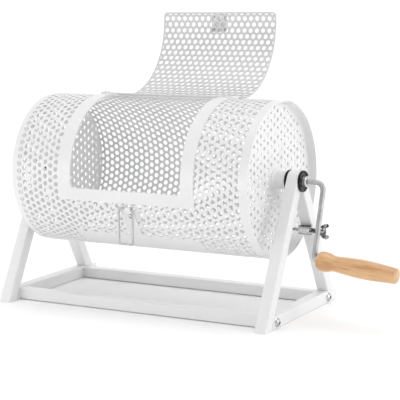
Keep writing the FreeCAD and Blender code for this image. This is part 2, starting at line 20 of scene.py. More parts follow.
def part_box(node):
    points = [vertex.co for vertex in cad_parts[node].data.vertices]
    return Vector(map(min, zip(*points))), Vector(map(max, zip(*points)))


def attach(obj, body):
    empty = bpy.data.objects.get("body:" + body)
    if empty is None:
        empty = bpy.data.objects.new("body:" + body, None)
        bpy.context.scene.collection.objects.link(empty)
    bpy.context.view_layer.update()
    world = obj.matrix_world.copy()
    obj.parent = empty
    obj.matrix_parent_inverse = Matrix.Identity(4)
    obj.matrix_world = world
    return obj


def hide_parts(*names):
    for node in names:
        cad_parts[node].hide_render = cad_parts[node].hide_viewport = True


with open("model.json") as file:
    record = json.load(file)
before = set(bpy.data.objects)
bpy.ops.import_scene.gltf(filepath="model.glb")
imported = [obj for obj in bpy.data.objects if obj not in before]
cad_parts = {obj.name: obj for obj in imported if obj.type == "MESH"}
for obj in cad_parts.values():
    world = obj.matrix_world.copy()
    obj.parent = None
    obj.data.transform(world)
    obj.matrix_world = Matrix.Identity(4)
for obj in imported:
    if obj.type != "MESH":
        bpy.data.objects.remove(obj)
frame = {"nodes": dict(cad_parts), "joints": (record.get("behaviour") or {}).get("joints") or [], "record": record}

LOG = logging.getLogger("raffle_drum")
SAME_PLACE = 1e-6
ON_AXIS = 1e-5
CREASE = math.radians(35.0)


class End(Enum):
    """The two ends of the drum, by the sign of their X."""

    LEFT = -1
    RIGHT = 1


# ------------------------------------------------------------------ meshes


@dataclass
class Skin:
    """A surface held as whole arrays.

    Attributes:
        points: Places of the vertices, one row each.
        triangles: Rows of three vertex numbers, in order seen from outside.
        quads: Rows of four vertex numbers, in order seen from outside.
    """

    points: np.ndarray
    triangles: np.ndarray = field(default_factory=lambda: np.zeros((0, 3), int))
    quads: np.ndarray = field(default_factory=lambda: np.zeros((0, 4), int))

    def joined(self, other: "Skin") -> "Skin":
        """Put two skins into one.

        Args:
            other: The skin to add.

        Returns:
            One skin with the points and faces of both.
        """
        start = len(self.points)
        return Skin(
            np.vstack([self.points, other.points]),
            np.vstack([self.triangles, other.triangles + start]),
            np.vstack([self.quads, other.quads + start]),
        )

    def welded(self) -> "Skin":
        """Merge the points that share a place.

        Returns:
            A skin in which each place has one point.
        """
        keys = np.round(self.points / SAME_PLACE).astype(np.int64)
        _, first, number = np.unique(keys, axis=0, return_index=True, return_inverse=True)
        number = number.reshape(-1)
        return Skin(self.points[first], number[self.triangles], number[self.quads])

    def made(self, name: str) -> bpy.types.Object:
        """Make the skin a mesh object at the origin, smooth but for its creases.

        Args:
            name: Name of the piece.

        Returns:
            The new object, linked to the scene.
        """
        mesh = bpy.data.meshes.new(name)
        faces = self.triangles.tolist() + self.quads.tolist()
        mesh.from_pydata(self.points.tolist(), [], faces)
        mesh.shade_smooth()
        mesh.set_sharp_from_angle(angle=CREASE)
        mesh.update()
        piece = bpy.data.objects.new(name, mesh)
        bpy.context.scene.collection.objects.link(piece)
        LOG.info("%s: %d points, %d faces", name, len(self.points), len(faces))
        return piece


def sampled_line(corners: np.ndarray, spacing: float) -> np.ndarray:
    """Divide a closed outline so that no two neighbours are further apart than spacing.

    Each side is start plus share times side, for evenly spaced shares.

    Args:
        corners: Corners of the outline, in order.
        spacing: Longest step.

    Returns:
        Points along the outline, without a repeat of the first.
    """
    parts = []
    for start, end in zip(corners, np.roll(corners, -1, axis=0)):
        steps = max(1, math.ceil(np.linalg.norm(end - start) / spacing - 1e-6))
        share = np.arange(steps)[:, None] / steps
        parts.append(start + share * (end - start))
    return np.vstack(parts)


def rounded_box(low: np.ndarray, high: np.ndarray, radii: tuple[float, ...]) -> np.ndarray:
    """Outline of a rectangle with its own radius at each corner.

    A corner is its centre plus radius times (cosine, sine) over a quarter turn. The
    corners go low-low, high-low, high-high, low-high, against the clock.

    Args:
        low: Lowest corner.
        high: Highest corner.
        radii: Four corner radii, 0 for a square corner.

    Returns:
        Points of the outline.
    """
    places = [(low[0], low[1]), (high[0], low[1]), (high[0], high[1]), (low[0], high[1])]
    inward = [(1, 1), (-1, 1), (-1, -1), (1, -1)]
    parts = []
    for number, (place, way, radius) in enumerate(zip(places, inward, radii)):
        steps = 7 if radius > 0 else 1
        turn = math.pi + number * math.pi / 2 + np.linspace(0, math.pi / 2, steps)
        centre = np.array(place) + radius * np.array(way)
        parts.append(centre + radius * np.stack([np.cos(turn), np.sin(turn)], axis=1))
    return np.vstack(parts)


def inside(points: np.ndarray, loop: np.ndarray) -> np.ndarray:
    """Tell which points lie inside a closed outline.

    A point is inside if a ray from it crosses the outline an odd number of times.

    Args:
        points: Points to test.
        loop: Points of the outline.

    Returns:
        True for each point inside.
    """
    x0, y0 = loop[:, 0], loop[:, 1]
    x1, y1 = np.roll(x0, -1), np.roll(y0, -1)
    rise = np.where(y1 == y0, 1e-12, y1 - y0)
    found = np.zeros(len(points), bool)
    for block in np.array_split(np.arange(len(points)), 1 + len(points) // 4096):
        x, y = points[block, 0:1], points[block, 1:2]
        spans = (y0 > y) != (y1 > y)
        crosses = spans & (x < x0 + (y - y0) * (x1 - x0) / rise)
        found[block] = crosses.sum(axis=1) % 2 == 1
    return found


def distance_to(points: np.ndarray, marks: np.ndarray) -> np.ndarray:
    """Distance from each point to the nearest of the marks.

    Args:
        points: Points to measure from.
        marks: Points to measure to.

    Returns:
        One distance for each point.
    """
    nearest = np.full(len(points), np.inf)
    for block in np.array_split(marks, 1 + len(marks) // 256):
        if len(block):
            gaps = np.linalg.norm(points[:, None, :] - block[None, :, :], axis=2)
            nearest = np.minimum(nearest, gaps.min(axis=1))
    return nearest


@dataclass(frozen=True)
class HoleLattice:
    """Round holes in staggered lines on a flat sheet.

    Lines run along the second coordinate, gap apart. The holes of a line are pitch apart,
    and each second line is moved on by half a pitch.

    Attributes:
        first_line: First coordinate of line 0.
        first_hole: Second coordinate of hole 0 in line 0.
        pitch: From hole to hole in a line.
        radius: Radius of a hole.
        sides: Corners of a hole's outline.
    """

    first_line: float
    first_hole: float
    pitch: float = 0.01188
    radius: float = 0.004
    sides: int = 12

    @property
    def gap(self) -> float:
        """Distance between lines: pitch times half the root of three."""
        return self.pitch * math.sqrt(3.0) / 2.0

    def centres(self, low: np.ndarray, high: np.ndarray) -> np.ndarray:
        """Hole centres inside a rectangle of the flat sheet.

        Args:
            low: Lowest corner.
            high: Highest corner.

        Returns:
            One row for each centre.
        """
        lines = np.arange(
            math.floor((low[0] - self.first_line) / self.gap),
            math.ceil((high[0] - self.first_line) / self.gap) + 1,
        )
        holes = np.arange(
            math.floor((low[1] - self.first_hole) / self.pitch) - 1,
            math.ceil((high[1] - self.first_hole) / self.pitch) + 1,
        )
        line, hole = (grid.reshape(-1) for grid in np.meshgrid(lines, holes, indexing="ij"))
        along = self.first_hole + (hole + 0.5 * (line % 2)) * self.pitch
        found = np.stack([self.first_line + line * self.gap, along], axis=1)
        return found[np.all((found >= low) & (found <= high), axis=1)]

    def rings(self, centres: np.ndarray) -> np.ndarray:
        """Outline of each hole.

        A corner is the centre plus its radius times the cosine and sine of the turn. The
        radius is such that the outline has the area of the round hole.

        Args:
            centres: Centres of the holes.

        Returns:
            Corners, holes by sides by two.
        """
        slice_turn = 2 * math.pi / self.sides
        turn = slice_turn * (np.arange(self.sides) + 0.5)
        corner = self.radius * math.sqrt(slice_turn / math.sin(slice_turn))
        ring = corner * np.stack([np.cos(turn), np.sin(turn)], axis=1)
        return centres[:, None, :] + ring[None, :, :]


@dataclass
class PunchedSheet:
    """Flat pattern of a perforated sheet.

    Attributes:
        edge: Outer outline, against the clock.
        windows: Outlines of the openings.
        lattice: The hole pattern.
        centres: Centres of the holes that are punched.
        frame: Corners of the rectangle that the holes are cut off at, if any.
        spacing: Distance between the filler points of plain zones.
    """

    edge: np.ndarray
    windows: list[np.ndarray]
    lattice: HoleLattice
    centres: np.ndarray
    frame: tuple[np.ndarray, np.ndarray] | None = None
    spacing: float = 0.006

    def fillers(self) -> np.ndarray:
        """Grid points that keep the faces of plain zones small.

        Returns:
            Points on the sheet, clear of its edges and holes.
        """
        low, high = self.edge.min(axis=0), self.edge.max(axis=0)
        axes = [
            np.linspace(a, b, max(2, math.ceil((b - a) / self.spacing)) + 1)
            for a, b in zip(low, high)
        ]
        grid = np.stack(np.meshgrid(*axes, indexing="ij"), axis=-1).reshape(-1, 2)
        grid = grid[inside(grid, self.edge)]
        clear = self.spacing * 0.55
        for window in self.windows:
            grid = grid[~inside(grid, window)]
        for line in [self.edge, *self.windows]:
            grid = grid[distance_to(grid, line) > clear]
        return grid[distance_to(grid, self.centres) > self.lattice.radius + clear]

    def cut(self) -> tuple[np.ndarray, np.ndarray]:
        """Triangulate the sheet between its edges, windows and holes.

        Each outline is kept as a chain of edges. A face whose corners all belong to one
        hole, or that lies in a window, is left out.

        Returns:
            Flat points and rows of three point numbers, against the clock.
        """
        rings = self.lattice.rings(self.centres)
        if self.frame is not None:
            rings = np.clip(rings, *self.frame)
        chains = [self.edge, *self.windows, *rings]
        points = np.vstack([*chains, self.fillers()])
        owner = np.full(len(points), -1)
        edges, start = [], 0
        for number, chain in enumerate(chains):
            own = np.arange(start, start + len(chain))
            edges.append(np.stack([own, np.roll(own, -1)], axis=1))
            if number > len(self.windows):
                owner[own] = number
            start += len(chain)
        flat, _, faces, sources, _, _ = delaunay_2d_cdt(
            points.tolist(), np.vstack(edges).tolist(), [], 0, SAME_PLACE * 0.1
        )
        flat = np.array([tuple(place) for place in flat])
        owner = owner[np.array([origin[0] for origin in sources])]
        faces = np.array([face for face in faces if len(face) == 3])
        held = owner[faces]
        in_hole = (held[:, 0] >= 0) & np.all(held == held[:, :1], axis=1)
        middle = flat[faces].mean(axis=1)
        keep = ~in_hole & inside(middle, self.edge)
        for window in self.windows:
            keep &= ~inside(middle, window)
        faces = faces[keep]
        one, two, three = (flat[faces[:, k]] for k in range(3))
        area = np.cross(two - one, three - one)
        faces[area < 0] = faces[area < 0][:, ::-1]
        return flat, faces[np.abs(area) > 1e-14]


def thickened(
    front: np.ndarray, back: np.ndarray, faces: np.ndarray, open_edge: np.ndarray | None = None
) -> Skin:
    """Give a sheet its thickness.

    The front faces are kept, the back ones turned round, and each edge that only one face
    uses gets a wall from front to back.

    Args:
        front: Places of the points on the outer face.
        back: Places of the same points on the inner face.
        faces: Triangles of the outer face, in order seen from outside.
        open_edge: True for points whose common edges get no wall.

    Returns:
        The closed skin.
    """
    pair = Skin(front, faces)
    keys = np.round(pair.points / SAME_PLACE).astype(np.int64)
    _, first, number = np.unique(keys, axis=0, return_index=True, return_inverse=True)
    number = number.reshape(-1)
    faces = number[faces]
    front, back = front[first], back[first]
    count = len(front)
    edges = np.vstack([faces[:, [0, 1]], faces[:, [1, 2]], faces[:, [2, 0]]])
    code, reverse = edges[:, 0] * count + edges[:, 1], edges[:, 1] * count + edges[:, 0]
    lone = edges[~np.isin(code, reverse)]
    if open_edge is not None:
        marked = open_edge[first]
        lone = lone[~(marked[lone[:, 0]] & marked[lone[:, 1]])]
    start, end = lone[:, 0], lone[:, 1]
    walls = np.stack([end, start, start + count, end + count], axis=1)
    return Skin(np.vstack([front, back]), np.vstack([faces, faces[:, ::-1] + count]), walls)


def revolved(
    profile: np.ndarray, centre: np.ndarray, steps: int, closed: bool = True
) -> Skin:
    """Turn a profile about a line along X.

    A point is (x, centre y - r sin t, centre z + r cos t) for the profile's (x, r) and
    the turn t.

    Args:
        profile: Rows of x and radius, in order that keeps the solid on the left.
        centre: The Y and Z of the line.
        steps: Points round a turn.
        closed: Whether the last profile point joins the first.

    Returns:
        The skin, closed round the turn.
    """
    turn = 2 * math.pi * np.arange(steps) / steps
    x = np.repeat(profile[:, :1], steps, axis=1)
    y = centre[0] - profile[:, 1:] * np.sin(turn)
    z = centre[1] + profile[:, 1:] * np.cos(turn)
    return gridded(np.stack([x, y, z], axis=-1), closed)


def gridded(points: np.ndarray, closed: bool) -> Skin:
    """Join a grid of points, rows along a profile and columns round a turn, by quads.

    Args:
        points: Grid of places, rows by columns by three.
        closed: Whether the last row joins the first.

    Returns:
        The skin.
    """
    rows, columns = points.shape[:2]
    number = np.arange(rows * columns).reshape(rows, columns)
    ahead = np.roll(number, -1, axis=0)
    if not closed:
        number, ahead = number[:-1], ahead[:-1]
    beside, corner = np.roll(number, -1, axis=1), np.roll(ahead, -1, axis=1)
    quads = np.stack([number, ahead, corner, beside], axis=-1).reshape(-1, 4)
    return Skin(points.reshape(-1, 3), quads=quads)


# ---------------------------------------------------------------- finishes


class Recipe:
    """A node tree under construction, with short ways to add what the finishes need."""

    def __init__(self, name: str) -> None:
        """Start a material with a Principled shader.

        Args:
            name: Name of the material.
        """
        self.material = bpy.data.materials.new(name)
        self.material.use_nodes = True
        self.nodes = self.material.node_tree.nodes
        self.links = self.material.node_tree.links
        self.shader = self.nodes["Principled BSDF"]
        place = self.nodes.new("ShaderNodeTexCoord")
        self.place = place.outputs["Object"]

    def fixed(self, **values: float | tuple[float, ...]) -> None:
        """Set numbers or colours on the shader's own sockets, by name with _ for a blank."""
        for name, value in values.items():
            self.shader.inputs[name.replace("_", " ")].default_value = value

    def mapped(
        self,
        stretch: tuple[float, float, float],
        turn: tuple[float, float, float] = (0.0, 0.0, 0.0),
        centre: tuple[float, float, float] = (0.0, 0.0, 0.0),
    ) -> bpy.types.NodeSocket:
        """Object coordinates, centred, turned and stretched.

        Args:
            stretch: Factor on each axis after the turn.
            turn: Turn about each axis, in radians.
            centre: Point that becomes the pattern's origin.

        Returns:
            The mapped coordinates.
        """
        moved = self.nodes.new("ShaderNodeMapping")
        moved.inputs["Location"].default_value = tuple(-value for value in centre)
        self.links.new(self.place, moved.inputs["Vector"])
        turned = self.nodes.new("ShaderNodeMapping")
        turned.inputs["Rotation"].default_value = turn
        self.links.new(moved.outputs["Vector"], turned.inputs["Vector"])
        sized = self.nodes.new("ShaderNodeMapping")
        sized.inputs["Scale"].default_value = stretch
        self.links.new(turned.outputs["Vector"], sized.inputs["Vector"])
        return sized.outputs["Vector"]

    def noise(
        self,
        scale: float,
        detail: float = 2.0,
        place: bpy.types.NodeSocket | None = None,
        twist: float = 0.0,
    ) -> bpy.types.NodeSocket:
        """Add a noise pattern.

        Args:
            scale: Waves to a metre.
            detail: Octaves.
            place: Coordinates, or None for plain Object coordinates.
            twist: Distortion.

        Returns:
            Its value, about 0.2 to 0.8.
        """
        node = self.nodes.new("ShaderNodeTexNoise")
        node.inputs["Scale"].default_value = scale
        node.inputs["Detail"].default_value = detail
        node.inputs["Distortion"].default_value = twist
        self.links.new(place or self.place, node.inputs["Vector"])
        return node.outputs["Fac"]

    def away_from(self, height: float) -> bpy.types.NodeSocket:
        """Distance above or below a height.

        Args:
            height: The height.

        Returns:
            The distance in metres.
        """
        parts = self.nodes.new("ShaderNodeSeparateXYZ")
        self.links.new(self.place, parts.inputs["Vector"])
        less = self.nodes.new("ShaderNodeMath")
        less.operation = "SUBTRACT"
        self.links.new(parts.outputs["Z"], less.inputs[0])
        less.inputs[1].default_value = height
        size = self.nodes.new("ShaderNodeMath")
        size.operation = "ABSOLUTE"
        self.links.new(less.outputs["Value"], size.inputs[0])
        return size.outputs["Value"]

    def span(
        self, value: bpy.types.NodeSocket, source: tuple[float, float], target: tuple[float, float]
    ) -> bpy.types.NodeSocket:
        """Map a value from one range to another, held at the ends.

        Args:
            value: The value.
            source: Its lowest and highest.
            target: What those become.

        Returns:
            The mapped value.
        """
        node = self.nodes.new("ShaderNodeMapRange")
        ends = dict(zip(("From Min", "From Max", "To Min", "To Max"), (*source, *target)))
        for name, number in ends.items():
            node.inputs[name].default_value = number
        self.links.new(value, node.inputs["Value"])
        return node.outputs["Result"]

    def blend(
        self,
        share: bpy.types.NodeSocket,
        one: tuple[float, float, float] | bpy.types.NodeSocket,
        two: tuple[float, float, float] | bpy.types.NodeSocket,
    ) -> bpy.types.NodeSocket:
        """Mix two colours.

        Args:
            share: Share of the second.
            one: First colour, or a socket that gives it.
            two: Second colour, or a socket that gives it.

        Returns:
            The mixed colour.
        """
        node = self.nodes.new("ShaderNodeMix")
        node.data_type = "RGBA"
        self.links.new(share, node.inputs["Factor"])
        for name, colour in (("A", one), ("B", two)):
            socket = next(s for s in node.inputs if s.name == name and s.type == "RGBA")
            if isinstance(colour, tuple):
                socket.default_value = (*colour, 1.0)
            else:
                self.links.new(colour, socket)
        return next(s for s in node.outputs if s.type == "RGBA")

    def bumped(
        self, height: bpy.types.NodeSocket, depth: float, below: bpy.types.NodeSocket | None = None
    ) -> bpy.types.NodeSocket:
        """Add a bump.

        Args:
            height: Height pattern.
            depth: Height in metres of a full step of the pattern.
            below: Normal of an earlier bump to build on.

        Returns:
            The bumped normal.
        """
        node = self.nodes.new("ShaderNodeBump")
        node.inputs["Strength"].default_value = 1.0
        node.inputs["Distance"].default_value = depth
        self.links.new(height, node.inputs["Height"])
        if below is not None:
            self.links.new(below, node.inputs["Normal"])
        return node.outputs["Normal"]

    def feed(self, **sockets: bpy.types.NodeSocket) -> None:
        """Link values to the shader's sockets, by name with _ for a blank."""
        for name, socket in sockets.items():
            self.links.new(socket, self.shader.inputs[name.replace("_", " ")])


@dataclass(frozen=True)
class PowderCoat:
    """White satin powder coat, with a faint orange peel.

    Attributes:
        name: Name of the material.
        slot: The record's material slot.
        light: Colour where the coat is thick.
        thin: Colour where it is thin.
        gloss: Roughness range.
        peel: Height of the orange peel.
    """

    slot: str = "white_steel"
    name: str = "powder_coat_white"
    light: tuple[float, float, float] = (0.80, 0.80, 0.803)
    thin: tuple[float, float, float] = (0.77, 0.77, 0.775)
    gloss: tuple[float, float] = (0.34, 0.46)
    peel: float = 0.00002

    def made(self) -> bpy.types.Material:
        """Build the material.

        Returns:
            The material, patterned on Object coordinates.
        """
        recipe = Recipe(self.name)
        cloud = recipe.span(recipe.noise(14.0, 4.0), (0.35, 0.65), (0.0, 1.0))
        recipe.feed(Base_Color=recipe.blend(cloud, self.light, self.thin))
        grain = recipe.noise(260.0, 3.0)
        recipe.feed(Roughness=recipe.span(grain, (0.3, 0.7), self.gloss))
        peel = recipe.bumped(recipe.noise(700.0, 1.5), self.peel)
        recipe.feed(Normal=recipe.bumped(recipe.noise(90.0, 1.0), self.peel * 1.6, peel))
        recipe.fixed(Coat_Weight=0.15, Coat_Roughness=0.22, IOR=1.5)
        return recipe.material


@dataclass(frozen=True)
class PlatedSteel:
    """Plated steel, brushed or polished.

    Attributes:
        slot: The record's material slot.
        name: Name of the material.
        light: Brighter tone.
        dull: Duller tone.
        gloss: Roughness range.
        scratch: Depth of the fine scratches.
        patch: Clouds of tone to a metre.
        edge: Tint of the reflection at a grazing angle.
        middle: Height of the middle of the light band, where the finish has one; the light band and the dark tone
            above and below it are painted reflections.
        band: Distances above and below the middle where the painted dark reflection begins and is full.
    """

    slot: str
    name: str
    light: tuple[float, float, float]
    dull: tuple[float, float, float]
    gloss: tuple[float, float]
    scratch: float
    patch: float = 60.0
    edge: float = 0.35
    middle: float | None = None
    band: tuple[float, float] = (0.0, 1.0)

    def made(self) -> bpy.types.Material:
        """Build the material.

        Returns:
            The material, with clouds of tone and fine scratches along X.
        """
        recipe = Recipe(self.name)
        cloud = recipe.span(recipe.noise(self.patch, 3.0, twist=0.6), (0.42, 0.58), (0.0, 1.0))
        tone = recipe.blend(cloud, self.light, self.dull)
        # Painted reflection: light around the middle height, turning to the dark tone above and below it.
        if self.middle is not None:
            away = recipe.away_from(self.middle)
            plain = recipe.blend(cloud, self.light, tuple(0.8 * part for part in self.light))
            tone = recipe.blend(recipe.span(away, self.band, (0.0, 1.0)), plain, self.dull)
        recipe.feed(Base_Color=tone)
        lines = recipe.noise(420.0, 3.0, recipe.mapped((0.25, 2.6, 2.6)))
        recipe.feed(Roughness=recipe.span(lines, (0.3, 0.7), self.gloss))
        recipe.feed(Normal=recipe.bumped(lines, self.scratch))
        recipe.fixed(Metallic=1.0, Specular_Tint=(self.edge, self.edge, self.edge, 1.0))
        return recipe.material


@dataclass(frozen=True)
class MouldedNylon:
    """Black moulded nylon with a fine matt grain.

    Attributes:
        slot: The record's material slot.
        dark: Colour of the body.
        worn: Colour of the paler specks.
    """

    slot: str = "black_nylon"
    dark: tuple[float, float, float] = (0.004, 0.004, 0.0045)
    worn: tuple[float, float, float] = (0.010, 0.010, 0.011)

    def made(self) -> bpy.types.Material:
        """Build the material.

        Returns:
            The material, patterned on Object coordinates.
        """
        recipe = Recipe("nylon_black")
        speck = recipe.noise(900.0, 3.0)
        share = recipe.span(speck, (0.5, 0.8), (0.0, 1.0))
        recipe.feed(Base_Color=recipe.blend(share, self.dark, self.worn))
        recipe.feed(Roughness=recipe.span(recipe.noise(120.0, 2.0), (0.3, 0.7), (0.22, 0.36)))
        recipe.feed(Normal=recipe.bumped(speck, 0.00001))
        recipe.fixed(IOR=1.53, Specular_IOR_Level=0.22)
        return recipe.material


@dataclass(frozen=True)
class TurnedBeech:
    """Lacquered beech with its grain along the grip.

    Attributes:
        slot: The record's material slot.
        pale: Colour between the growth rings.
        ring: Colour of the growth rings.
        fleck: Colour of the short dark rays.
        along: Way of the grip's axis.
        start: A point on that axis.
    """

    slot: str
    along: Vector
    start: Vector
    pale: tuple[float, float, float] = (0.71, 0.42, 0.185)
    ring: tuple[float, float, float] = (0.55, 0.28, 0.105)
    fleck: tuple[float, float, float] = (0.36, 0.17, 0.06)

    def made(self) -> bpy.types.Material:
        """Build the material.

        The coordinates are turned so that their X runs along the grip. Rings are bands of
        a stretched noise, rays are a finer stretched noise cut off high.

        Returns:
            The material, patterned on Object coordinates.
        """
        recipe = Recipe("beech_lacquered")
        turn = tuple(Vector((1, 0, 0)).rotation_difference(self.along).inverted().to_euler())
        centre = tuple(self.start)
        broad = recipe.noise(55.0, 3.0, recipe.mapped((0.16, 1.0, 1.0), turn, centre), 0.8)
        rings = recipe.span(broad, (0.42, 0.60), (0.0, 1.0))
        fine = recipe.noise(420.0, 4.0, recipe.mapped((0.05, 1.0, 1.0), turn, centre))
        rays = recipe.noise(620.0, 1.0, recipe.mapped((0.11, 1.0, 1.0), turn, centre))
        wood = recipe.blend(rings, self.pale, self.ring)
        streak = recipe.span(fine, (0.45, 0.75), (0.0, 0.45))
        wood = recipe.blend(streak, wood, self.ring)
        wood = recipe.blend(recipe.span(rays, (0.62, 0.72), (0.0, 0.55)), wood, self.fleck)
        recipe.feed(Base_Color=wood)
        recipe.feed(Roughness=recipe.span(fine, (0.3, 0.7), (0.42, 0.58)))
        recipe.feed(Normal=recipe.bumped(fine, 0.00003))
        recipe.fixed(Coat_Weight=0.8, Coat_Roughness=0.25, Coat_IOR=1.6)
        return recipe.material


# ------------------------------------------------------------------ pieces


@dataclass
class Workshop:
    """The finishes, made once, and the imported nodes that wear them.

    Attributes:
        grip_axis: Way of the wooden grip's axis.
        grip_start: A point on it.
        materials: The finishes by slot or by name.
    """

    grip_axis: Vector
    grip_start: Vector
    materials: dict[str, bpy.types.Material] = field(default_factory=dict)

    def prepare(self) -> None:
        """Make every finish."""
        finishes = (
            PowderCoat(),
            MouldedNylon(),
            PlatedSteel(
                slot="zinc_steel",
                name="zinc_plate",
                light=(0.54, 0.54, 0.545),
                dull=(0.46, 0.46, 0.468),
                gloss=(0.38, 0.5),
                scratch=0.00001,
            ),
            PlatedSteel(
                slot="chrome",
                name="chrome_plate",
                light=(0.72, 0.72, 0.73),
                dull=(0.42, 0.42, 0.43),
                gloss=(0.08, 0.18),
                scratch=0.000003,
            ),
            TurnedBeech("beech", self.grip_axis, self.grip_start),
        )
        for finish in finishes:
            self.materials[finish.slot] = finish.made()
        self.prepare_specials()

    def prepare_specials(self) -> None:
        """Make the finishes that only some pieces of a slot wear.

        They are the door's darker coat, which is painted shade; the lock's chrome with dark mottles, which are
        painted reflections; the same with a light band at the lock pin's height and dark bands above and below it
        for the boss, which are painted reflections too; and the turned steel of the axle stubs.
        """
        # The door's coat is a darker copy of the white coat: painted shade, for the door standing in shade.
        door = PowderCoat(
            name="powder_coat_painted_door_shade", light=(0.64, 0.64, 0.645), thin=(0.6, 0.6, 0.606)
        )
        # The lock's chrome: its dark mottles are painted reflections, dark patches in the base colour for the dark
        # things a chrome part would mirror.
        lock = PlatedSteel(
            slot="chrome",
            name="chrome_painted_reflection",
            light=(0.62, 0.62, 0.63),
            dull=(0.06, 0.06, 0.063),
            gloss=(0.1, 0.25),
            scratch=0.00001,
            patch=190.0,
        )
        low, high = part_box("lock_pin")
        # The boss's chrome has a painted reflection: a light band at the lock pin's height, dark above and below.
        boss = replace(
            lock,
            name="chrome_boss_painted_reflection",
            light=(0.8, 0.8, 0.81),
            dull=(0.13, 0.13, 0.135),
            middle=(low.z + high.z) / 2,
            band=(0.004, 0.0066),
        )
        stub = PlatedSteel(
            slot="zinc_steel",
            name="steel_turned",
            light=(0.8, 0.8, 0.8),
            dull=(0.6, 0.6, 0.605),
            gloss=(0.25, 0.36),
            scratch=0.000006,
        )
        specials = {"door_painted_shade": door, "lock_painted_reflection": lock, "boss_painted_reflection": boss, "stub_end": stub}
        for name, finish in specials.items():
            self.materials[name] = finish.made()

    def dress(self, piece: bpy.types.Object, slot: str, finish: str | None = None) -> None:
        """Give a new piece its finish.

        Args:
            piece: The piece.
            slot: The record's material slot.
            finish: Name of a special finish, or None for the slot's own.
        """
        piece.data.materials.append(self.materials[finish or slot])

    def dress_nodes(
        self,
        nodes: dict[str, bpy.types.Object],
        slots: dict[str, str],
        special: dict[str, str],
    ) -> None:
        """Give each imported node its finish.

        Args:
            nodes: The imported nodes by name.
            slots: Slot of each node.
            special: Finish of each node that doesn't wear its slot's own.
        """
        for name, node in nodes.items():
            finish = special.get(name, slots[name])
            for holder in node.material_slots:
                holder.material = self.materials[finish]
            LOG.info("%s: packed node in %s", name, finish)


@dataclass
class DrumWall:
    """Rolled and perforated wall of the drum, with the loading opening.

    Attributes:
        half_opening: Half the opening's length along the drum.
        opening_back: Angle of the opening's back edge.
        opening_front: Angle of its front edge.
        opening_corner: Radius of its corners.
        sheet: Thickness.
        rim: Furthest X of a hole's centre.
        strip: Angles of the plain strip below the hasp.
        strip_half: Half its length along the drum.
        seam: Half the width of the plain strip along the rolled seam.
        rivets: X, angle and clear distance of the rivets and the bolt.
        first_line: X of line 0 of the holes.
        first_hole: Angle of a hole in line 0.
    """

    half_opening: float = 0.102
    opening_back: float = -10.0
    opening_front: float = 96.5
    opening_corner: float = 0.006
    sheet: float = 0.0012
    rim: float = 0.2035
    strip: tuple[float, float] = (137.5, 172.0)
    strip_half: float = 0.1135
    seam: float = 0.008
    rivets: tuple[tuple[float, float, float], ...] = (
        (0.1145, -6.0, 0.0065),
        (0.121, -6.0, 0.0065),
        (0.0046, 115.5, 0.009),
    )
    first_line: float = 0.00283
    first_hole: float = 4.676

    def build(self, workshop: Workshop) -> bpy.types.Object:
        """Build the wall in place of the plain packed one.

        The flat sheet's first coordinate is X and its second is radius times angle. A
        flat point goes to (x, -r sin a, axis height + r cos a).

        Args:
            workshop: The finishes.

        Returns:
            The finished piece.
        """
        low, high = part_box("drum_shell")
        radius = (high.y - low.y) / 2
        axis = (high.z + low.z) / 2
        arc = radius * math.pi / 180.0
        half = np.array([high.x, math.pi * radius])
        edge = sampled_line(rounded_box(-half, half, (0, 0, 0, 0)), 0.004)
        window = sampled_line(
            rounded_box(
                np.array([-self.half_opening, self.opening_back * arc]),
                np.array([self.half_opening, self.opening_front * arc]),
                (self.opening_corner,) * 4,
            ),
            0.004,
        )
        lattice = HoleLattice(self.first_line, self.first_hole * arc)
        centres = self.punched(lattice, half, arc)
        flat, faces = PunchedSheet(edge, [window], lattice, centres).cut()
        angle = flat[:, 1] / radius

        def rolled(r: float) -> np.ndarray:
            """Roll the flat points to a radius."""
            return np.stack([flat[:, 0], -r * np.sin(angle), axis + r * np.cos(angle)], axis=1)

        skin = thickened(rolled(radius), rolled(radius - self.sheet), faces[:, ::-1])
        piece = skin.made("drum_wall_perforated")
        workshop.dress(piece, "white_steel")
        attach(piece, "drum")
        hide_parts("drum_shell")
        return piece

    def punched(self, lattice: HoleLattice, half: np.ndarray, arc: float) -> np.ndarray:
        """Centres of the holes outside the plain zones.

        Args:
            lattice: The hole pattern.
            half: Half size of the flat sheet.
            arc: Length along the wall of one degree.

        Returns:
            The centres.
        """
        centres = lattice.centres(-half, half)
        x, degrees = np.abs(centres[:, 0]), centres[:, 1] / arc
        margin = lattice.radius + 0.0012
        turn = margin / arc
        clear = (x < self.rim) & (np.abs(centres[:, 1]) < half[1] - self.seam)
        opening = (x < self.half_opening + margin) & (degrees > self.opening_back - turn)
        opening &= degrees < self.opening_front + turn
        strip = (x < self.strip_half) & (degrees > self.strip[0]) & (degrees < self.strip[1])
        for place, angle, gap in self.rivets:
            clear &= np.hypot(x - place, centres[:, 1] - angle * arc) > gap
        return centres[clear & ~opening & ~strip]


